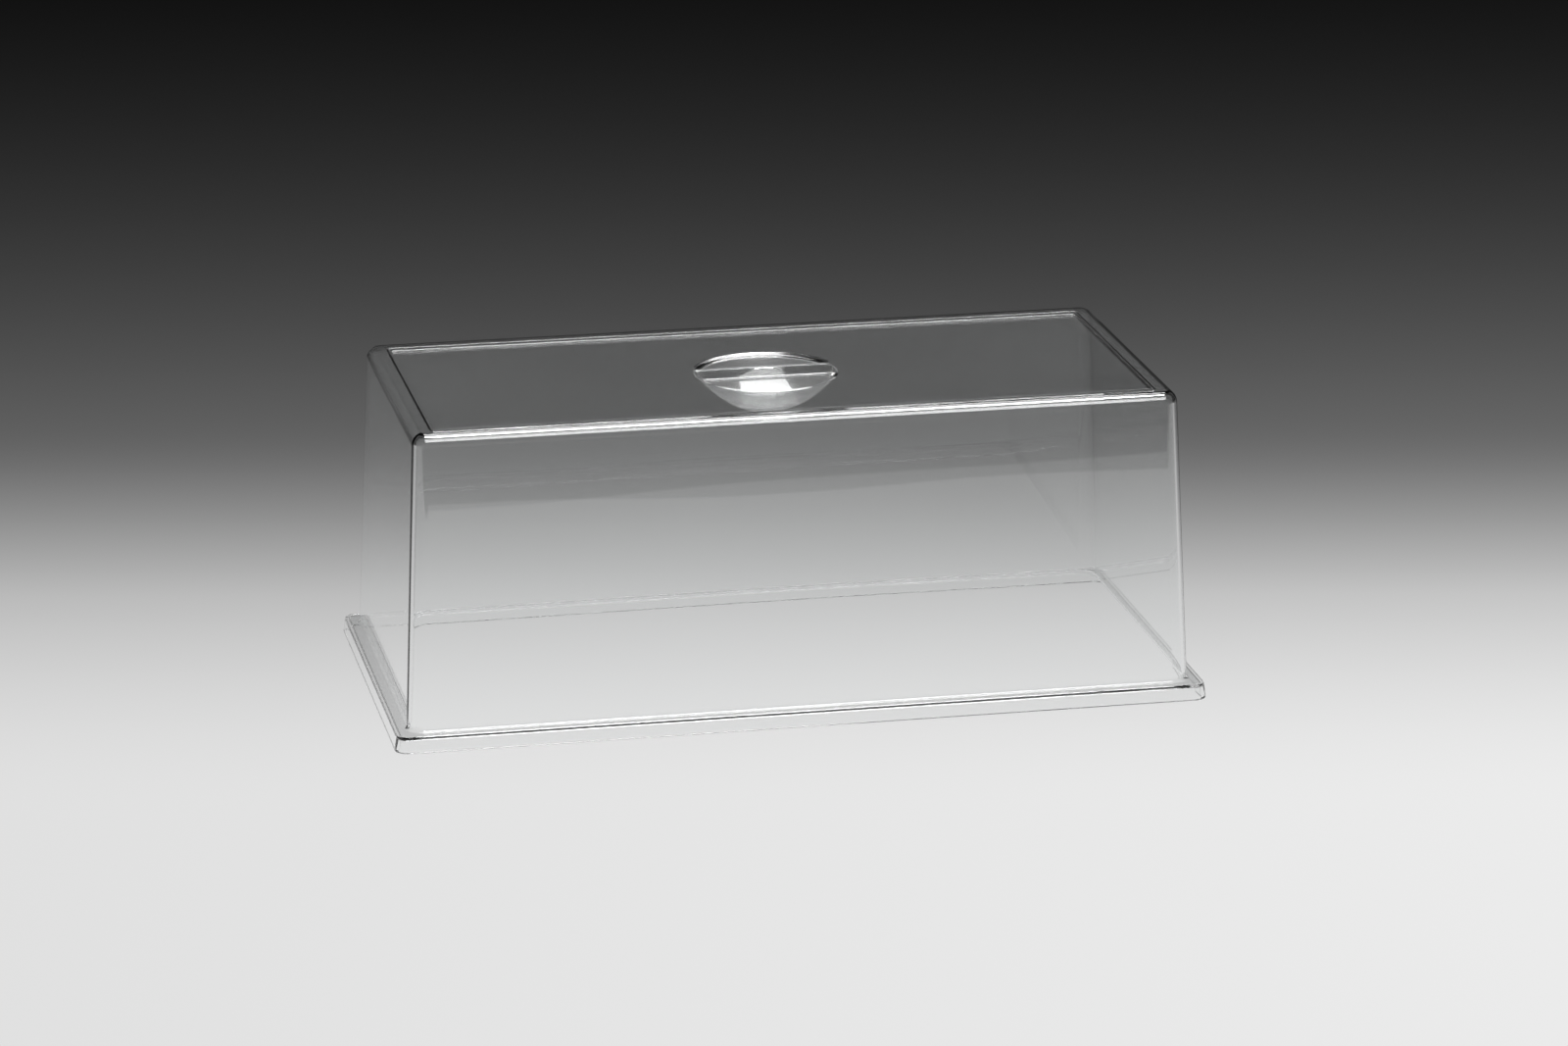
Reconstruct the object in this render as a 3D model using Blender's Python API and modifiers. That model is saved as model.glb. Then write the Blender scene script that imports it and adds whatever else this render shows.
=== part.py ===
"""Clear rectangular display cover with a grip bridge over a finger bowl in its top.

Metres, +Z up. The origin is on the table under the middle of the cover, X runs along the
length and -Y faces the viewer.
"""

import math

import bmesh
import bpy
from mathutils import Matrix

# Cover: outline at the top of its flange, height and sheet thickness
FLANGE_LENGTH = 0.5600
FLANGE_WIDTH = 0.2812
HEIGHT = 0.2146
WALL = 0.0028

# Base flange and the skirt that turns down from it and flares a little
FLANGE_HEIGHT = 0.0112
FLANGE_CORNER_RADIUS = 0.0080
SKIRT_FLARE = 0.0015
SKIRT_LAND = 0.0012

# Walls: distance in from the flange's edge, lean up to the shoulder, and corners
FLANGE_REACH = 0.0087
FLANGE_FILLET = 0.0022
END_WALL_LEAN = 0.0084
SIDE_WALL_LEAN = 0.0090
WALL_FOOT_CORNER_RADIUS = 0.0130
WALL_HEAD_CORNER_RADIUS = 0.0100

# Rounded shoulder, flat rim, and the panel that lies lower inside it
SHOULDER_RADIUS = 0.0080
RIM_WIDTH = 0.0083
PANEL_DROP = 0.0020
PANEL_STEP_DRAFT = 0.0003
PANEL_CORNER_RADIUS = 0.0015

# Two D-shaped openings in the panel leave a bridge between them to grip, with the round sunk
# mark of the moulding gate in its middle
MOUTH_RADIUS = 0.0505
BRIDGE_WIDTH = 0.0270
GATE_MARK_RADIUS = 0.0095
GATE_MARK_DEPTH = 0.0003

# Finger bowl: a dished piece with a thin flat rim, bonded under the panel round the openings
BOWL_DEPTH = 0.0252
BOWL_WALL = 0.0028
BOWL_MOUTH_RADIUS = 0.0456
BOWL_RIM_RADIUS = 0.0522
BOWL_RIM_THICKNESS = 0.0012

# Clearances and cutting
SEAT_GAP = 0.0003
CUT_OVERRUN = 0.0040
MERGE = 0.00001

# Counts
CORNER_STEPS = 6
SIDE_POINTS = 3
FILLET_STEPS = 3
SHOULDER_STEPS = 6
DISH_STEPS = 9
ROUND_SIDES = 64
GATE_MARK_SIDES = 32
RING_POINTS = 4 * (CORNER_STEPS + 1 + SIDE_POINTS)

# Half sizes of the wall's outline at its foot and at its head, where the shoulder starts
FOOT_HALF_LENGTH = FLANGE_LENGTH / 2 - FLANGE_REACH
FOOT_HALF_WIDTH = FLANGE_WIDTH / 2 - FLANGE_REACH
HEAD_HALF_LENGTH = FOOT_HALF_LENGTH - END_WALL_LEAN
HEAD_HALF_WIDTH = FOOT_HALF_WIDTH - SIDE_WALL_LEAN

# Levels of the panel and of the bowl's rim
PANEL_TOP = HEIGHT - PANEL_DROP
PANEL_UNDERSIDE = PANEL_TOP - WALL
RIM_TOP = PANEL_UNDERSIDE - SEAT_GAP
RIM_UNDERSIDE = RIM_TOP - BOWL_RIM_THICKNESS

# The bowl's inside is part of a ball, from its mouth at the rim's top down to its lowest point
DISH_DEPTH = BOWL_DEPTH - (PANEL_TOP - RIM_TOP)
BALL_RADIUS = (BOWL_MOUTH_RADIUS**2 + DISH_DEPTH**2) / (2 * DISH_DEPTH)
BALL_CENTRE = PANEL_TOP - BOWL_DEPTH + BALL_RADIUS


def clear_scene():
    for obj in list(bpy.data.objects):
        bpy.data.objects.remove(obj, do_unlink=True)


def new_collection(name):
    collection = bpy.data.collections.new(name)
    bpy.context.scene.collection.children.link(collection)
    return collection


def new_material(name, colour, roughness, transmission):
    material = bpy.data.materials.new(name)
    material.use_nodes = True
    shader = material.node_tree.nodes["Principled BSDF"]
    shader.inputs["Base Color"].default_value = (*colour, 1.0)
    shader.inputs["Roughness"].default_value = roughness
    shader.inputs["Transmission Weight"].default_value = transmission
    return material


def new_object(name, bm, collection, material=None):
    """Object from a bmesh, smooth except at its sharp edges."""
    mesh = bpy.data.meshes.new(name)
    bm.to_mesh(mesh)
    bm.free()
    mesh.shade_smooth()
    mesh.set_sharp_from_angle(angle=math.radians(30))
    if material:
        mesh.materials.append(material)
    obj = bpy.data.objects.new(name, mesh)
    collection.objects.link(obj)
    return obj


def hide_as_cutter(obj):
    obj.hide_render = True
    obj.display_type = "WIRE"


def rectangle_ring(half_x, half_y, corner_radius, level):
    """Points of a rounded rectangle, with a few along each straight side."""
    centre_x = half_x - corner_radius
    centre_y = half_y - corner_radius
    corners = []
    for quarter, (side_x, side_y) in enumerate(((1, 1), (-1, 1), (-1, -1), (1, -1))):
        arc = []
        for step in range(CORNER_STEPS + 1):
            angle = math.pi / 2 * (quarter + step / CORNER_STEPS)
            x = side_x * centre_x + corner_radius * math.cos(angle)
            y = side_y * centre_y + corner_radius * math.sin(angle)
            arc.append((x, y, level))
        corners.append(arc)
    points = []
    for quarter, arc in enumerate(corners):
        points += arc
        start = arc[-1]
        end = corners[(quarter + 1) % 4][0]
        for step in range(1, SIDE_POINTS + 1):
            along = step / (SIDE_POINTS + 1)
            x = start[0] + (end[0] - start[0]) * along
            y = start[1] + (end[1] - start[1]) * along
            points.append((x, y, level))
    return points


def flange_rings():
    """From the skirt's foot over the flange to the foot of the wall."""
    half_x = FLANGE_LENGTH / 2
    half_y = FLANGE_WIDTH / 2
    foot = (half_x + SKIRT_FLARE, half_y + SKIRT_FLARE, FLANGE_CORNER_RADIUS + SKIRT_FLARE)
    rings = [rectangle_ring(*foot, 0), rectangle_ring(*foot, SKIRT_LAND)]
    rings.append(rectangle_ring(half_x, half_y, FLANGE_CORNER_RADIUS, FLANGE_HEIGHT))
    for step in range(FILLET_STEPS + 1):
        angle = math.pi / 2 * step / FILLET_STEPS
        out = FLANGE_FILLET * (1 - math.sin(angle))
        level = FLANGE_HEIGHT + FLANGE_FILLET * (1 - math.cos(angle))
        corner = WALL_FOOT_CORNER_RADIUS + out
        rings.append(rectangle_ring(FOOT_HALF_LENGTH + out, FOOT_HALF_WIDTH + out, corner, level))
    return rings


def top_rings():
    """From the head of the wall over the shoulder and the rim to the edge of the panel."""
    rings = []
    for step in range(SHOULDER_STEPS + 1):
        angle = math.pi / 2 * step / SHOULDER_STEPS
        turned_in = SHOULDER_RADIUS * (1 - math.cos(angle))
        level = HEIGHT - SHOULDER_RADIUS * (1 - math.sin(angle))
        half_x = HEAD_HALF_LENGTH - turned_in
        half_y = HEAD_HALF_WIDTH - turned_in
        rings.append(rectangle_ring(half_x, half_y, WALL_HEAD_CORNER_RADIUS - turned_in, level))
    inset = SHOULDER_RADIUS + RIM_WIDTH
    for inward, level in ((inset, HEIGHT), (inset + PANEL_STEP_DRAFT, PANEL_TOP)):
        half_x = HEAD_HALF_LENGTH - inward
        half_y = HEAD_HALF_WIDTH - inward
        rings.append(rectangle_ring(half_x, half_y, PANEL_CORNER_RADIUS, level))
    return rings


def cylinder(name, radius, sides, top, bottom, cutters):
    """An upright cutter between two levels."""
    bm = bmesh.new()
    bmesh.ops.create_cone(
        bm,
        cap_ends=True,
        segments=sides,
        radius1=radius,
        radius2=radius,
        depth=top - bottom,
        matrix=Matrix.Translation((0, 0, (top + bottom) / 2)),
    )
    obj = new_object(name, bm, cutters)
    hide_as_cutter(obj)
    return obj


def subtract(obj, cutter):
    cut = obj.modifiers.new(cutter.name, "BOOLEAN")
    cut.operation = "DIFFERENCE"
    cut.object = cutter


def build_shell(collection, cutters, material):
    """The whole cover as one open outside surface with a Solidify, and the openings cut out."""
    bm = bmesh.new()
    loops = [[bm.verts.new(point) for point in ring] for ring in flange_rings() + top_rings()]
    for lower, upper in zip(loops, loops[1:]):
        for i in range(RING_POINTS):
            bm.faces.new((lower[i - 1], lower[i], upper[i], upper[i - 1]))
    bm.faces.new(loops[-1])
    shell = new_object("cover_shell", bm, collection, material)
    solidify = shell.modifiers.new("wall", "SOLIDIFY")
    solidify.thickness = WALL
    solidify.offset = -1
    solidify.use_even_offset = True

    over = PANEL_TOP + CUT_OVERRUN
    under = PANEL_UNDERSIDE - CUT_OVERRUN
    mouth = cylinder("mouth", MOUTH_RADIUS, ROUND_SIDES, over, under, cutters)
    bm = bmesh.new()
    length = 2 * (MOUTH_RADIUS + CUT_OVERRUN)
    height = WALL + 4 * CUT_OVERRUN
    size = Matrix.Diagonal((length, BRIDGE_WIDTH, height, 1))
    place = Matrix.Translation((0, 0, PANEL_TOP - WALL / 2))
    bmesh.ops.create_cube(bm, size=1, matrix=place @ size)
    bridge = new_object("bridge_in_mouth", bm, cutters)
    hide_as_cutter(bridge)
    subtract(mouth, bridge)
    subtract(shell, mouth)
    floor = PANEL_TOP - GATE_MARK_DEPTH
    subtract(shell, cylinder("gate_mark", GATE_MARK_RADIUS, GATE_MARK_SIDES, over, floor, cutters))
    return shell


def dish_arc(radius, top):
    """Points (radius, level) on a ball about the bowl's centre, from a level to its lowest."""
    turn = math.acos((BALL_CENTRE - top) / radius)
    points = []
    for step in range(DISH_STEPS + 1):
        angle = turn * (1 - step / DISH_STEPS)
        points.append((radius * math.sin(angle), BALL_CENTRE - radius * math.cos(angle)))
    return points


def build_bowl(collection, material):
    """The dished bowl with its flat rim, turned about the Z axis by a Screw."""
    outer = dish_arc(BALL_RADIUS + BOWL_WALL, RIM_UNDERSIDE)
    rim = [(BOWL_RIM_RADIUS, RIM_UNDERSIDE), (BOWL_RIM_RADIUS, RIM_TOP)]
    profile = outer[::-1] + rim + dish_arc(BALL_RADIUS, RIM_TOP)
    bm = bmesh.new()
    verts = [bm.verts.new((radius, 0, level)) for radius, level in reversed(profile)]
    for pair in zip(verts, verts[1:]):
        bm.edges.new(pair)
    bowl = new_object("recess_bowl", bm, collection, material)
    screw = bowl.modifiers.new("turn", "SCREW")
    screw.steps = ROUND_SIDES
    screw.render_steps = ROUND_SIDES
    screw.use_merge_vertices = True
    screw.merge_threshold = MERGE
    screw.use_smooth_shade = True
    return bowl


clear_scene()
cover = new_collection("display_cover")
cutting = new_collection("cutters")
clear_plastic = new_material("clear_polycarbonate", (0.96, 0.97, 0.97), 0.03, transmission=1.0)

build_shell(cover, cutting, clear_plastic)
build_bowl(cover, clear_plastic)
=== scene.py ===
"""Looks of a clear rectangular display cover that stands on a pale table under soft lamps."""

import math

import bmesh
import bpy
from mathutils import Matrix, Vector


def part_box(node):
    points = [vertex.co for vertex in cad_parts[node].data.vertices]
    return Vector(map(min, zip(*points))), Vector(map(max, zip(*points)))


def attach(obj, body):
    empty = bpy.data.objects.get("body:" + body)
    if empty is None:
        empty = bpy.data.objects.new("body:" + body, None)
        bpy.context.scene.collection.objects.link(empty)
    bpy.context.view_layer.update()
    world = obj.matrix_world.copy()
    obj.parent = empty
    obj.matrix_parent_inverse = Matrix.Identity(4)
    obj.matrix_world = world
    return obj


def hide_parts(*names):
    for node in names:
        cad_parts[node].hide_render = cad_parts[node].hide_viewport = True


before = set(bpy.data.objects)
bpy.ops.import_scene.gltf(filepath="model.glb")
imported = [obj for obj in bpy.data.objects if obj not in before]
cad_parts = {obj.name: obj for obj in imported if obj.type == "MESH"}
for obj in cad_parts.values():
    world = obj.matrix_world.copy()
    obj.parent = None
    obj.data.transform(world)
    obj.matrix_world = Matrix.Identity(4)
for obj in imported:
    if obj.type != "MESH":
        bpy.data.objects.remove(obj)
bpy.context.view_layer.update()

# Clear cover
# One moulding of clear polycarbonate: drafted walls on a flanged skirt, a rounded shoulder, a flat
# rim, and a lower panel with two D-shaped openings and a gate mark on the bridge between them.
COVER_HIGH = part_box("cover_shell")[1]
SHEET = 0.0028
SKIRT_FLARE = 0.0015
SKIRT_LAND = 0.0012
SKIRT_EDGE_RADIUS = 0.0006
SKIRT_BEND_RADIUS = 0.0030
FLANGE_LEVEL = 0.0112
FLANGE_EDGE_RADIUS = 0.0009
FLANGE_INNER_RADIUS = 0.0007
FLANGE_CORNER_RADIUS = 0.0080
FLANGE_REACH = 0.0087
WALL_FOOT_FILLET = 0.0022
WALL_FOOT_CORNER_RADIUS = 0.0130
WALL_HEAD_CORNER_RADIUS = 0.0100
END_WALL_LEAN = 0.0084
SIDE_WALL_LEAN = 0.0090
SHOULDER_REACH = 0.0080
SHOULDER_TOP_RADIUS = 0.0058
SHOULDER_SIDE_RADIUS = 0.0100
RIM_WIDTH = 0.0083
RIM_EDGE_RADIUS = 0.0008
PANEL_DROP = 0.0020
PANEL_STEP_DRAFT = 0.0003
PANEL_EDGE_RADIUS = 0.0006
PANEL_UNDER_RADIUS = 0.0012
PANEL_CORNER_RADIUS = 0.0015
OPENING_RADIUS = 0.0505
OPENING_CORNER_RADIUS = 0.0030
OPENING_EDGE_RADIUS = 0.0004
OPENING_FOOT = 0.0028
OPENING_FOOT_RISE = 0.0018
OPENING_FOOT_THICKNESS = 0.0005
BRIDGE_WIDTH = 0.0270
GATE_MARK_RADIUS = 0.0095
GATE_MARK_DEPTH = 0.0003
GATE_MARK_SLOPE = 0.0004
GATE_MARK_ROUND = 0.00015
FLAT_BORDER = 0.0010
WALL_RISE = 0.1000
MERGE_DISTANCE = 0.000001
SHARP_FROM = math.radians(40)
QUARTER_STEPS = 32
SHOULDER_STEPS = 14
ROUND_STEPS = 8
SMALL_ROUND_STEPS = 4
EDGE_STEPS = 3
ARC_STEPS = 64
CHORD_STEPS = 24
CORNER_STEPS = 6

half_length = COVER_HIGH.x - SKIRT_FLARE
half_width = COVER_HIGH.y - SKIRT_FLARE
cover_top = COVER_HIGH.z
panel_top = cover_top - PANEL_DROP
panel_low = panel_top - SHEET


def rounded(corners):
    """Points (out, level, plan radius) of a section, with all but its first and last corner rounded.

    Each corner is (out, level, fillet, plan radius, steps).
    """
    points = [(corners[0][0], corners[0][1], corners[0][3])]
    for before, corner, after in zip(corners, corners[1:], corners[2:]):
        out, level, fillet, plan, steps = corner
        at = Vector((out, level))
        back = (Vector(before[:2]) - at).normalized()
        onward = (Vector(after[:2]) - at).normalized()
        half_turn = back.angle(onward) / 2
        centre = at + (back + onward).normalized() * fillet / math.sin(half_turn)
        start = (at + back * fillet / math.tan(half_turn) - centre).normalized()
        end = (at + onward * fillet / math.tan(half_turn) - centre).normalized()
        for step in range(steps + 1):
            point = centre + start.slerp(end, step / steps) * fillet
            points.append((point.x, point.y, plan + point.x - at.x))
    points.append((corners[-1][0], corners[-1][1], corners[-1][3]))
    return points


def wall_line(lean):
    """Slope of a wall's outer face, and where it would meet the flange's and the rim's level."""
    slope = lean / (cover_top - SHOULDER_REACH - FLANGE_LEVEL - WALL_FOOT_FILLET)
    wall_foot = -FLANGE_REACH + slope * WALL_FOOT_FILLET
    wall_head = -FLANGE_REACH - lean - slope * SHOULDER_REACH
    return slope, wall_foot, wall_head


def shoulder(slope, wall_head, depth):
    """The shoulder's two corners at a depth in the sheet: a wide round, and a tighter one on top."""
    half_top_turn = math.pi / 8
    half_side_turn = math.pi / 8 - math.atan(slope) / 2
    chamfer = SHOULDER_TOP_RADIUS * math.tan(half_top_turn)
    chamfer += SHOULDER_SIDE_RADIUS * math.tan(half_side_turn)
    top = wall_head - (1 - slope) * chamfer / math.sqrt(2) - depth * math.tan(half_top_turn)
    drop = (wall_head - depth + slope * depth - top) / (1 - slope)
    level = cover_top - depth
    plan = WALL_HEAD_CORNER_RADIUS - wall_head + top
    return [
        (top + drop, level - drop, SHOULDER_SIDE_RADIUS - depth, plan + drop, SHOULDER_STEPS),
        (top, level, SHOULDER_TOP_RADIUS - depth, plan, SHOULDER_STEPS),
    ]


def upper_section(lean):
    """Out from the flange's edge and up: skirt, flange, wall, shoulder, rim and panel."""
    slope, wall_foot, wall_head = wall_line(lean)
    rim_edge = -FLANGE_REACH - lean - SHOULDER_REACH - RIM_WIDTH
    panel_edge = rim_edge - PANEL_STEP_DRAFT
    inside = panel_edge - PANEL_EDGE_RADIUS - FLAT_BORDER
    skirt_corner = FLANGE_CORNER_RADIUS + SKIRT_FLARE
    return rounded([
        (SKIRT_FLARE - SHEET / 2, 0, 0, skirt_corner - SHEET / 2, 0),
        (SKIRT_FLARE, 0, SKIRT_EDGE_RADIUS, skirt_corner, SMALL_ROUND_STEPS),
        (SKIRT_FLARE, SKIRT_LAND, SKIRT_BEND_RADIUS, skirt_corner, SMALL_ROUND_STEPS),
        (0, FLANGE_LEVEL, FLANGE_EDGE_RADIUS, FLANGE_CORNER_RADIUS, ROUND_STEPS),
        (wall_foot, FLANGE_LEVEL, WALL_FOOT_FILLET, WALL_FOOT_CORNER_RADIUS, ROUND_STEPS),
        *shoulder(slope, wall_head, 0),
        (rim_edge, cover_top, RIM_EDGE_RADIUS, PANEL_CORNER_RADIUS, ROUND_STEPS),
        (panel_edge, panel_top, PANEL_EDGE_RADIUS, PANEL_CORNER_RADIUS, ROUND_STEPS),
        (inside, panel_top, 0, PANEL_CORNER_RADIUS, 0),
    ])


def lower_section(lean):
    """The same section one sheet further in, from the panel back down to the skirt."""
    slope, wall_foot, wall_head = wall_line(lean)
    rim_edge = -FLANGE_REACH - lean - SHOULDER_REACH - RIM_WIDTH + SHEET
    panel_edge = rim_edge - PANEL_STEP_DRAFT
    inside = panel_edge - SHEET - PANEL_UNDER_RADIUS - FLAT_BORDER
    flange_low = FLANGE_LEVEL - SHEET
    flange_corner = FLANGE_CORNER_RADIUS - SHEET
    foot_corner = WALL_FOOT_CORNER_RADIUS - SHEET
    skirt_corner = FLANGE_CORNER_RADIUS + SKIRT_FLARE - SHEET
    panel_corner = PANEL_CORNER_RADIUS + SHEET
    return rounded([
        (inside, panel_low, 0, panel_corner, 0),
        (panel_edge, panel_low, PANEL_UNDER_RADIUS, panel_corner, ROUND_STEPS),
        (rim_edge, cover_top - SHEET, FLANGE_INNER_RADIUS, panel_corner, SMALL_ROUND_STEPS),
        *shoulder(slope, wall_head, SHEET)[::-1],
        (wall_foot - SHEET, flange_low, WALL_FOOT_FILLET + SHEET, foot_corner, ROUND_STEPS),
        (-SHEET, flange_low, FLANGE_INNER_RADIUS, flange_corner, SMALL_ROUND_STEPS),
        (SKIRT_FLARE - SHEET, SKIRT_LAND, SKIRT_BEND_RADIUS, skirt_corner, SMALL_ROUND_STEPS),
        (SKIRT_FLARE - SHEET, 0, SKIRT_EDGE_RADIUS, skirt_corner, SMALL_ROUND_STEPS),
        (SKIRT_FLARE - SHEET / 2, 0, 0, skirt_corner + SHEET / 2, 0),
    ])


def rectangle_rings(section):
    """Rings (half length, half width, corner radius, level) for a section of the cover."""
    rings = []
    for end, side in zip(section(END_WALL_LEAN), section(SIDE_WALL_LEAN)):
        rings.append((half_length + end[0], half_width + side[0], end[2], end[1]))
    return rings


def gate_mark_rings():
    """Rings of the round sunk mark, from its floor up to the panel."""
    floor = panel_top - GATE_MARK_DEPTH
    section = rounded([
        (GATE_MARK_RADIUS + FLAT_BORDER / 2, panel_top, 0, 0, 0),
        (GATE_MARK_RADIUS, panel_top, GATE_MARK_ROUND, 0, EDGE_STEPS),
        (GATE_MARK_RADIUS - GATE_MARK_SLOPE, floor, GATE_MARK_ROUND, 0, EDGE_STEPS),
        (GATE_MARK_RADIUS / 2, floor, 0, 0, 0),
    ])
    return [(out, out, out, level) for out, level, _ in section[::-1]]


def move_ring(verts, before, after):
    """Moves the four quarters of a ring from one rounded outline to another."""
    for vert in verts:
        side = Vector((math.copysign(1, vert.co.x), math.copysign(1, vert.co.y)))
        old = Vector((before[0] - before[2], before[1] - before[2])) * side
        new = Vector((after[0] - after[2], after[1] - after[2])) * side
        place = new + (vert.co.xy - old) * (after[2] / before[2])
        vert.co = (place.x, place.y, after[3])


def ring_edges(verts):
    """The edges that join these vertices to each other."""
    own = set(verts)
    near = {edge for vert in verts for edge in vert.link_edges}
    return [edge for edge in near if own.issuperset(edge.verts)]


def extruded(bm, edges):
    """Extrudes a ring of edges and gives the new vertices and edges."""
    grown = bmesh.ops.extrude_edge_only(bm, edges=edges)["geom"]
    verts = [part for part in grown if isinstance(part, bmesh.types.BMVert)]
    return verts, ring_edges(verts)


def loft(bm, rings, side, floor=False):
    """Draws a circle out into the first ring, then extrudes it from ring to ring.

    The attribute sheet_side is 0 up to the foot of the walls. At their head it is 1 on the cover's
    outer side and -1 on its inner side, and the rings above copy it.
    """
    radius = rings[0][2]
    turn = Matrix.Rotation(math.pi / 4 / QUARTER_STEPS, 4, "Z")
    circle = bmesh.ops.create_circle(
        bm, cap_ends=floor, segments=4 * QUARTER_STEPS, radius=radius, matrix=turn
    )
    verts = circle["verts"]
    edges = ring_edges(verts)
    move_ring(verts, (radius, radius, radius, 0), rings[0])
    sheet_side = bm.verts.layers.float.get("sheet_side")
    for before, after in zip(rings, rings[1:]):
        verts, edges = extruded(bm, edges)
        move_ring(verts, before, after)
        if abs(after[3] - before[3]) > WALL_RISE:
            for vert in verts:
                vert[sheet_side] = side
    return edges


def arc(centre, radius, start, end, steps):
    """Points on an arc, both its ends among them."""
    turns = [start + (end - start) * step / steps for step in range(steps + 1)]
    return [centre + Vector((math.cos(turn), math.sin(turn))) * radius for turn in turns]


def opening_outline(inset, foot):
    """Outline of the rear opening, drawn in: an arc with its foot, a chord and two round corners."""
    radius = OPENING_RADIUS - inset - foot
    chord = BRIDGE_WIDTH / 2 + inset
    corner = OPENING_CORNER_RADIUS - inset
    half_chord = math.sqrt((radius - corner) ** 2 - (chord + corner) ** 2)
    left = Vector((-half_chord, chord + corner))
    right = Vector((half_chord, chord + corner))
    start = math.atan2(right.y, right.x)
    points = arc(Vector((0, 0)), radius, start, math.pi - start, ARC_STEPS)
    points += arc(left, corner, math.pi - start, math.pi * 3 / 2, CORNER_STEPS)[1:]
    for step in range(1, CHORD_STEPS):
        points.append(Vector((half_chord * (2 * step / CHORD_STEPS - 1), chord)))
    return points + arc(right, corner, -math.pi / 2, start, CORNER_STEPS)[:-1]


def opening_section():
    """Wall of an opening, from the top down, as (inset, foot, level): round edges, hollow foot."""
    edge = []
    for step in range(EDGE_STEPS + 1):
        turn = math.pi / 2 * step / EDGE_STEPS
        inset = -OPENING_EDGE_RADIUS * (1 - math.sin(turn))
        edge.append((inset, OPENING_EDGE_RADIUS * (1 - math.cos(turn))))
    section = [(-FLAT_BORDER / 2, 0, panel_top)]
    section += [(inset, 0, panel_top - depth) for inset, depth in edge]
    for step in range(ROUND_STEPS + 1):
        turn = math.pi / 2 * step / ROUND_STEPS
        foot = OPENING_FOOT * (1 - math.cos(turn))
        rise = OPENING_FOOT_RISE * (1 - math.sin(turn))
        section.append((0, foot, panel_low + OPENING_FOOT_THICKNESS + rise))
    section += [(inset, OPENING_FOOT, panel_low + depth) for inset, depth in edge[::-1]]
    section.append((-FLAT_BORDER / 2, OPENING_FOOT, panel_low))
    return section


def opening_loft(bm, side):
    """Walls of the rear opening (1) or the front one (-1), with their upper and lower edges."""
    rings = []
    for inset, foot, level in opening_section():
        outline = opening_outline(inset, foot)
        rings.append([Vector((point.x, side * point.y, level)) for point in outline])
    verts = [bm.verts.new(point) for point in rings[0]]
    edges = [bm.edges.new(pair) for pair in zip(verts, verts[1:] + verts[:1])]
    top_edges = edges
    for before, after in zip(rings, rings[1:]):
        verts, edges = extruded(bm, edges)
        # Extruded vertices come in no set order, so each is known by its place.
        for vert in verts:
            vert.co = min(zip(before, after), key=lambda pair: (pair[0] - vert.co).length)[1]
    return top_edges, edges


def finished(name, bm, *materials):
    """Object from a closed bmesh: smooth, with flat faces kept flat right up to their rounds."""
    mesh = bpy.data.meshes.new(name)
    bm.to_mesh(mesh)
    bm.free()
    mesh.shade_smooth()
    mesh.set_sharp_from_angle(angle=SHARP_FROM)
    for material in materials:
        mesh.materials.append(material)
    obj = bpy.data.objects.new(name, mesh)
    bpy.context.scene.collection.objects.link(obj)
    weighted = obj.modifiers.new("flat_faces", "WEIGHTED_NORMAL")
    weighted.keep_sharp = True
    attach(obj, "root")
    return obj


CLEAR_TINT = (0.985, 0.992, 0.992, 1)
CLEAR_IOR = 1.585
WAVE_SIZE = 0.220
WAVE_HEIGHT = 0.0012
HAZE_SCALE = 24
HAZE_DETAIL = 4
HAZE_DISTORTION = 1
HAZE_FROM = 0.58
HAZE_TO = 0.85
HAZE_ROUGHNESS = 0.02


def clear_plastic(name, roughness):
    """Clear moulded polycarbonate: slow waves through the whole sheet, and a faint patchy haze.

    The waves need the attribute sheet_side, and a piece without it has none.
    """
    material = bpy.data.materials.new(name)
    material.use_nodes = True
    nodes = material.node_tree.nodes
    links = material.node_tree.links
    shader = nodes["Principled BSDF"]
    shader.inputs["Base Color"].default_value = CLEAR_TINT
    shader.inputs["IOR"].default_value = CLEAR_IOR
    shader.inputs["Transmission Weight"].default_value = 1
    place = nodes.new("ShaderNodeTexCoord")
    waves = nodes.new("ShaderNodeTexNoise")
    waves.inputs["Scale"].default_value = 1 / WAVE_SIZE
    waves.inputs["Detail"].default_value = 0
    side = nodes.new("ShaderNodeAttribute")
    side.attribute_name = "sheet_side"
    height = nodes.new("ShaderNodeMath")
    height.operation = "MULTIPLY"
    bump = nodes.new("ShaderNodeBump")
    bump.inputs["Strength"].default_value = 1
    bump.inputs["Distance"].default_value = WAVE_HEIGHT
    haze = nodes.new("ShaderNodeTexNoise")
    haze.inputs["Scale"].default_value = HAZE_SCALE
    haze.inputs["Detail"].default_value = HAZE_DETAIL
    haze.inputs["Distortion"].default_value = HAZE_DISTORTION
    rub = nodes.new("ShaderNodeMapRange")
    rub.inputs["From Min"].default_value = HAZE_FROM
    rub.inputs["From Max"].default_value = HAZE_TO
    rub.inputs["To Min"].default_value = roughness
    rub.inputs["To Max"].default_value = roughness + HAZE_ROUGHNESS
    links.new(place.outputs["Object"], waves.inputs["Vector"])
    links.new(place.outputs["Object"], haze.inputs["Vector"])
    links.new(waves.outputs["Fac"], height.inputs[0])
    links.new(side.outputs["Fac"], height.inputs[1])
    links.new(height.outputs["Value"], bump.inputs["Height"])
    links.new(bump.outputs["Normal"], shader.inputs["Normal"])
    links.new(haze.outputs["Fac"], rub.inputs["Value"])
    links.new(rub.outputs["Result"], shader.inputs["Roughness"])
    return material


clear_sheet = clear_plastic("clear_polycarbonate", roughness=0)

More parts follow.
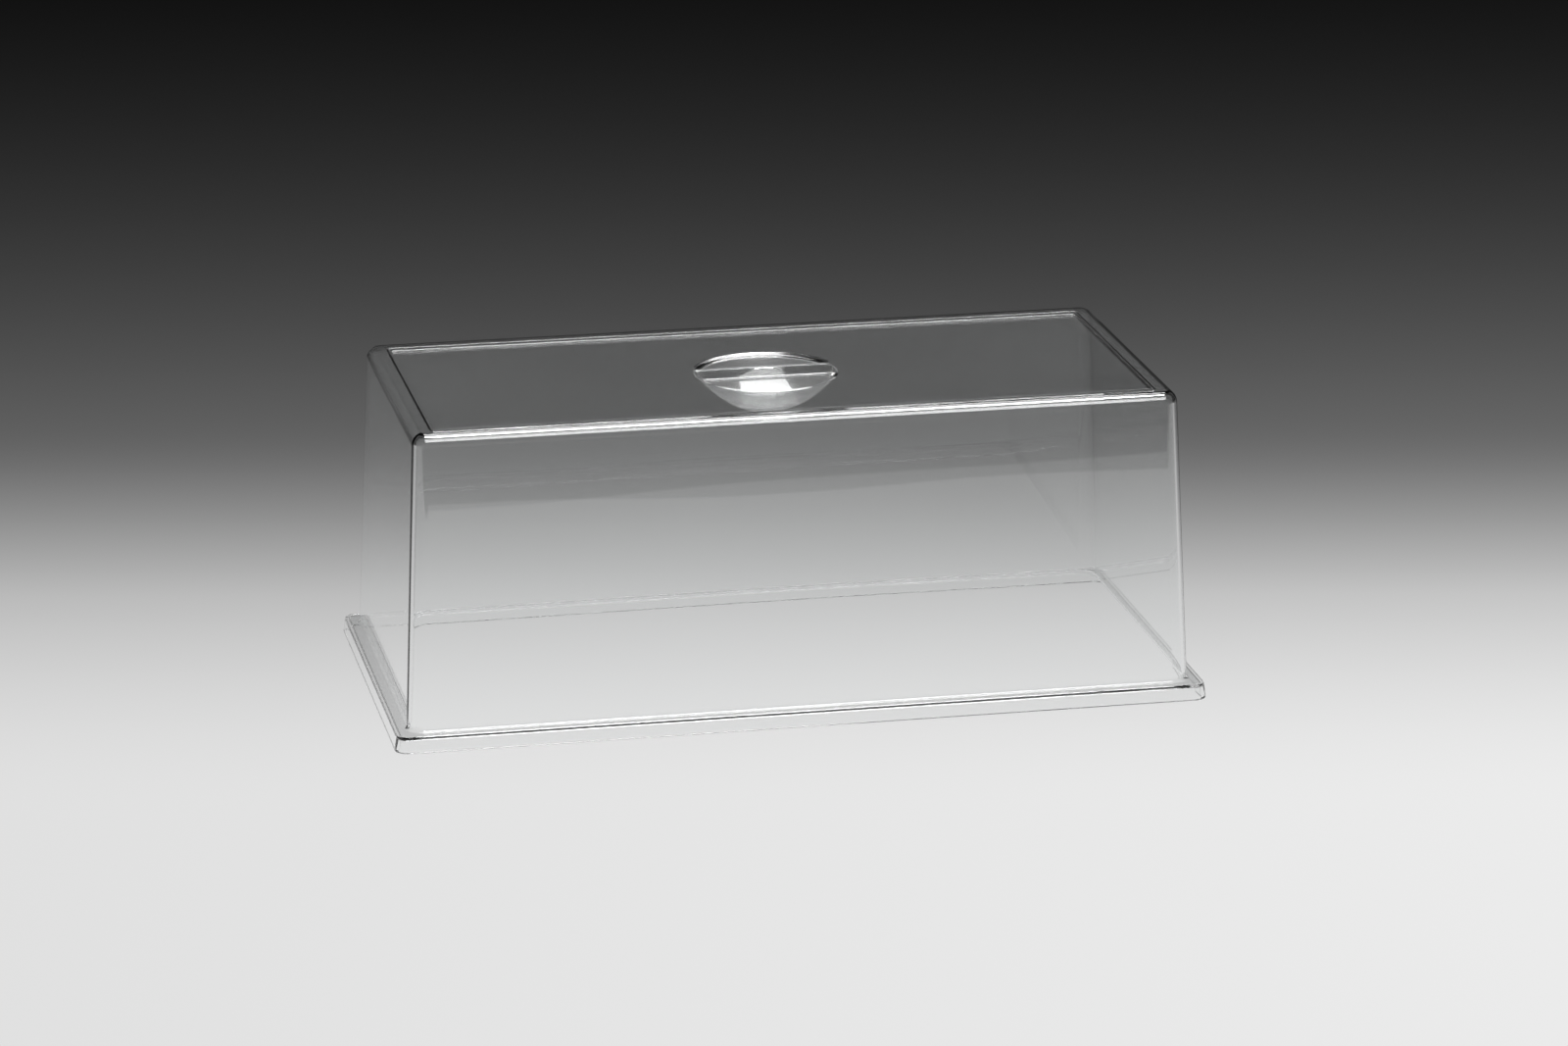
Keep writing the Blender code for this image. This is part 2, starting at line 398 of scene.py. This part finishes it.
shell = bmesh.new()
shell.verts.layers.float.new("sheet_side")
upper_edges = loft(shell, rectangle_rings(upper_section), 1)
lower_edges = loft(shell, rectangle_rings(lower_section)[::-1], -1)
upper_edges += loft(shell, gate_mark_rings(), 0, floor=True)
for side in (-1, 1):
    top_edges, low_edges = opening_loft(shell, side)
    upper_edges += top_edges
    lower_edges += low_edges
bmesh.ops.triangle_fill(shell, edges=upper_edges, normal=(0, 0, 1), use_beauty=True)
bmesh.ops.triangle_fill(shell, edges=lower_edges, normal=(0, 0, -1), use_beauty=True)
bmesh.ops.remove_doubles(shell, verts=shell.verts, dist=MERGE_DISTANCE)
bmesh.ops.recalc_face_normals(shell, faces=shell.faces)
cover = finished("clear_cover", shell, clear_sheet)
# Light isn't traced through the clear pieces onto the table, so they would cast a black shadow.
cover.visible_shadow = False
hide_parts("cover_shell")

# Recess bowl
# A dished bowl of the same clear plastic with a slightly matt underside, moulded by itself. Its thin
# flat rim is bonded under the panel, all round the two openings.
BOWL_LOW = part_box("recess_bowl")[0]
BOWL_WALL = 0.0015
BOWL_MOUTH_RADIUS = 0.0471
BOWL_NECK_RADIUS = 0.0487
BOWL_LIP_ROUND = 0.0006
BOWL_NECK_FILLET = 0.0006
BOWL_SEAT_GAP = 0.00005
BOWL_RIM_RADIUS = 0.0500
BOWL_RIM_THICKNESS = 0.0005
BOWL_RIM_EDGE = 0.0002
UNDERSIDE_ROUGHNESS = 0.17
UNDERSIDE_FACING = 0.1
DISH_STEPS = 40
TURN_STEPS = 192

rim_top = panel_low - BOWL_SEAT_GAP
rim_low = rim_top - BOWL_RIM_THICKNESS


def dish(mouth, top, lowest, fillet):
    """Section of a dish that is part of a ball, from a flat rim over a round to its lowest point."""
    depth = top - lowest
    radius = (mouth**2 + depth**2) / (2 * depth)
    rim_turn = math.asin(mouth / radius) - fillet / radius
    along = []
    for step in range(DISH_STEPS + 1):
        turn = rim_turn * (1 - step / DISH_STEPS)
        along.append((radius * math.sin(turn), lowest + radius * (1 - math.cos(turn))))
    lip = [
        (mouth + fillet, top, 0, 0, 0),
        (mouth, top, fillet, 0, CORNER_STEPS),
        (*along[0], 0, 0, 0),
    ]
    return [point[:2] for point in rounded(lip)[1:-1]] + along[1:]


def turned(profile):
    """A bmesh of a (radius, level) profile spun once round the Z axis."""
    bm = bmesh.new()
    verts = [bm.verts.new((radius, 0, level)) for radius, level in profile]
    edges = [bm.edges.new(pair) for pair in zip(verts, verts[1:])]
    bmesh.ops.spin(
        bm,
        geom=verts + edges,
        axis=(0, 0, 1),
        cent=(0, 0, 0),
        angle=2 * math.pi,
        steps=TURN_STEPS,
        use_merge=True,
    )
    bmesh.ops.remove_doubles(bm, verts=bm.verts, dist=MERGE_DISTANCE)
    bmesh.ops.recalc_face_normals(bm, faces=bm.faces)
    return bm


inside = dish(BOWL_MOUTH_RADIUS, rim_top, BOWL_LOW.z + BOWL_WALL, BOWL_LIP_ROUND)
outside = dish(BOWL_NECK_RADIUS, rim_low, BOWL_LOW.z, BOWL_NECK_FILLET)
rim = rounded([
    (BOWL_RIM_RADIUS - FLAT_BORDER, rim_low, 0, 0, 0),
    (BOWL_RIM_RADIUS, rim_low, BOWL_RIM_EDGE, 0, EDGE_STEPS),
    (BOWL_RIM_RADIUS, rim_top, BOWL_RIM_EDGE, 0, EDGE_STEPS),
    (BOWL_RIM_RADIUS - FLAT_BORDER, rim_top, 0, 0, 0),
])
dished = turned(outside[::-1] + [point[:2] for point in rim] + inside)
for face in dished.faces:
    if face.normal.z < -UNDERSIDE_FACING:
        face.material_index = 1
matt_clear = clear_plastic("clear_matt_underside", UNDERSIDE_ROUGHNESS)
bowl = finished("clear_bowl", dished, clear_sheet, matt_clear)
bowl.visible_shadow = False
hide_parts("recess_bowl")

# Camera
# It stands in front, a little to the left, and looks down on the cover through a long lens.
CAMERA_PLACE = Vector((-0.7457521, -3.6945967, 1.2338247))
CAMERA_YAW = math.radians(11.599)
CAMERA_PITCH = math.radians(-16.703)
CAMERA_ROLL = math.radians(-0.122)
CAMERA_LENS = 129.67
CAMERA_SENSOR = 36
CAMERA_NEAR = 0.1
CAMERA_FAR = 50

lens = bpy.data.cameras.new("camera")
lens.lens = CAMERA_LENS
lens.sensor_width = CAMERA_SENSOR
lens.clip_start = CAMERA_NEAR
lens.clip_end = CAMERA_FAR
camera = bpy.data.objects.new("camera", lens)
bpy.context.scene.collection.objects.link(camera)
aim = Matrix.Rotation(-CAMERA_YAW, 4, "Z") @ Matrix.Rotation(math.pi / 2 + CAMERA_PITCH, 4, "X")
aim = aim @ Matrix.Rotation(CAMERA_ROLL, 4, "Z")
camera.matrix_world = Matrix.Translation(CAMERA_PLACE) @ aim
bpy.context.scene.camera = camera

# Table and backdrop
# One pale sheet of paper under the cover, darkened behind and paler to the right by painted light
# falloff. The cover's front wall mirrors its near edge, past which only the camera sees it pale.
TABLE_SIZE = 12
TABLE_FRONT = -0.92
TABLE_FRONT_BLUR = 0.015
TABLE_PALE = 0.53
TABLE_FADE_FROM = -0.30
TABLE_FADE_TO = 0.62
TABLE_SIDE_SLOPE = 0.11
TABLE_TAIL = 0.160
TABLE_TAIL_FROM = 0.45
TABLE_TAIL_LENGTH = 0.60

bm = bmesh.new()
bmesh.ops.create_grid(bm, x_segments=1, y_segments=1, size=TABLE_SIZE / 2)
mesh = bpy.data.meshes.new("table")
bm.to_mesh(mesh)
bm.free()
table = bpy.data.objects.new("table", mesh)
bpy.context.scene.collection.objects.link(table)
# Its pale tone carries painted light falloff: darker behind and paler to the right.
paper = bpy.data.materials.new("paper_with_painted_falloff")
paper.use_nodes = True
nodes = paper.node_tree.nodes
links = paper.node_tree.links


def math_node(operation, first, second=0.0, third=0.0):
    """A Math node of the paper, whose inputs are numbers or other nodes' outputs."""
    node = nodes.new("ShaderNodeMath")
    node.operation = operation
    for socket, value in zip(node.inputs, (first, second, third)):
        if isinstance(value, (int, float)):
            socket.default_value = value
        else:
            links.new(value, socket)
    return node.outputs["Value"]


def fade(value, start, end):
    """Runs smoothly from 1 at the start to 0 at the end."""
    node = nodes.new("ShaderNodeMapRange")
    node.interpolation_type = "SMOOTHSTEP"
    links.new(value, node.inputs["Value"])
    node.inputs["From Min"].default_value = start
    node.inputs["From Max"].default_value = end
    node.inputs["To Min"].default_value = 1
    node.inputs["To Max"].default_value = 0
    return node.outputs["Result"]


# The painted light falloff runs straight back and aside, in a frame turned as the camera is.
place = nodes.new("ShaderNodeTexCoord")
parts = nodes.new("ShaderNodeSeparateXYZ")
links.new(place.outputs["Object"], parts.inputs["Vector"])
back = math_node("MULTIPLY", parts.outputs["Y"], math.cos(CAMERA_YAW))
back = math_node("MULTIPLY_ADD", parts.outputs["X"], math.sin(CAMERA_YAW), back)
aside = math_node("MULTIPLY", parts.outputs["Y"], -math.sin(CAMERA_YAW))
aside = math_node("MULTIPLY_ADD", parts.outputs["X"], math.cos(CAMERA_YAW), aside)

# It is pale in front, and painted light falloff darkens it behind, with a weak tail that falls off
# slowly.
tail_at = math_node("MAXIMUM", back, (TABLE_FADE_FROM + TABLE_FADE_TO) / 2)
tail_at = math_node("SUBTRACT", tail_at, TABLE_TAIL_FROM)
tail = math_node("EXPONENT", math_node("MULTIPLY", tail_at, -1 / TABLE_TAIL_LENGTH))
tone = math_node("MULTIPLY", fade(back, TABLE_FADE_FROM, TABLE_FADE_TO), TABLE_PALE)
tone = math_node("MULTIPLY_ADD", tail, TABLE_TAIL, tone)

# Every ray but the camera's own finds its near edge, and painted light falloff makes it a little
# paler to the right.
ray = nodes.new("ShaderNodeLightPath")
near = fade(parts.outputs["Y"], TABLE_FRONT, TABLE_FRONT - TABLE_FRONT_BLUR)
near = math_node("MAXIMUM", near, ray.outputs["Is Camera Ray"])
tone = math_node("MULTIPLY", tone, near)
tone = math_node("MULTIPLY", tone, math_node("MULTIPLY_ADD", aside, TABLE_SIDE_SLOPE, 1))
colour = nodes.new("ShaderNodeCombineColor")
for channel in ("Red", "Green", "Blue"):
    links.new(tone, colour.inputs[channel])

# Matt paper to the light that falls on it, and its tone, painted falloff and all, given off as a
# glow to rays that see or mirror it.
shader = nodes["Principled BSDF"]
shader.inputs["Roughness"].default_value = 1
shader.inputs["Specular IOR Level"].default_value = 0
links.new(colour.outputs["Color"], shader.inputs["Base Color"])
shown = nodes.new("ShaderNodeEmission")
links.new(colour.outputs["Color"], shown.inputs["Color"])
seen = math_node("MAXIMUM", ray.outputs["Is Camera Ray"], ray.outputs["Is Glossy Ray"])
seen = math_node("MAXIMUM", seen, ray.outputs["Is Transmission Ray"])
mix = nodes.new("ShaderNodeMixShader")
links.new(seen, mix.inputs["Fac"])
links.new(shader.outputs["BSDF"], mix.inputs[1])
links.new(shown.outputs["Emission"], mix.inputs[2])
links.new(mix.outputs["Shader"], nodes["Material Output"].inputs["Surface"])
mesh.materials.append(paper)

# Light
# Two wide soft lamps hang over the table in a dim room. The rear one has a cut corner and shows in
# the bowl as a white patch. The front one draws the line along the shoulder.
LAMP_LEVEL = 1.40
REAR_LAMP = ((-0.38, -0.16), (0.66, 1.15))
REAR_LAMP_CUT = 0.37
REAR_LAMP_GLOW = 7.6
FRONT_LAMP = ((-0.75, -1.75), (0.75, -0.75))
FRONT_LAMP_GLOW = 6.3
ROOM_COLOUR = (0.03, 0.03, 0.03, 1)
CLEAR_BOUNCES = 32
MIRROR_BOUNCES = 16


def soft_lamp(name, corners, cut, glow):
    """A level sheet of soft light between two corners, with its right front corner cut off."""
    low, high = Vector(corners[0]), Vector(corners[1])
    bm = bmesh.new()
    bmesh.ops.create_grid(bm, x_segments=1, y_segments=1, size=1 / 2)
    place = Matrix.Translation((*((low + high) / 2), LAMP_LEVEL))
    turned_down = Matrix.Rotation(math.pi, 4, "X") @ Matrix.Diagonal((*(high - low), 1, 1))
    bmesh.ops.transform(bm, matrix=place @ turned_down, verts=bm.verts)
    bmesh.ops.bisect_plane(
        bm,
        geom=bm.verts[:] + bm.edges[:] + bm.faces[:],
        plane_co=(high.x - cut, low.y, 0),
        plane_no=(1, -1, 0),
        clear_outer=True,
    )
    mesh = bpy.data.meshes.new(name)
    bm.to_mesh(mesh)
    bm.free()
    sheet = bpy.data.materials.new(name)
    sheet.use_nodes = True
    nodes = sheet.node_tree.nodes
    links = sheet.node_tree.links
    light = nodes.new("ShaderNodeEmission")
    side = nodes.new("ShaderNodeNewGeometry")
    front_only = nodes.new("ShaderNodeMath")
    front_only.operation = "MULTIPLY_ADD"
    front_only.inputs[1].default_value = -glow
    front_only.inputs[2].default_value = glow
    links.new(side.outputs["Backfacing"], front_only.inputs[0])
    links.new(front_only.outputs["Value"], light.inputs["Strength"])
    links.new(light.outputs["Emission"], nodes["Material Output"].inputs["Surface"])
    mesh.materials.append(sheet)
    lamp = bpy.data.objects.new(name, mesh)
    bpy.context.scene.collection.objects.link(lamp)
    lamp.visible_camera = False


soft_lamp("rear_lamp", REAR_LAMP, REAR_LAMP_CUT, REAR_LAMP_GLOW)
soft_lamp("front_lamp", FRONT_LAMP, 0, FRONT_LAMP_GLOW)

room = bpy.data.worlds.new("dim_room")
room.use_nodes = True
room.node_tree.nodes["Background"].inputs["Color"].default_value = ROOM_COLOUR
bpy.context.scene.world = room

bpy.context.scene.view_settings.view_transform = "Standard"
bpy.context.scene.cycles.max_bounces = CLEAR_BOUNCES
bpy.context.scene.cycles.transmission_bounces = CLEAR_BOUNCES
bpy.context.scene.cycles.transparent_max_bounces = CLEAR_BOUNCES
bpy.context.scene.cycles.glossy_bounces = MIRROR_BOUNCES
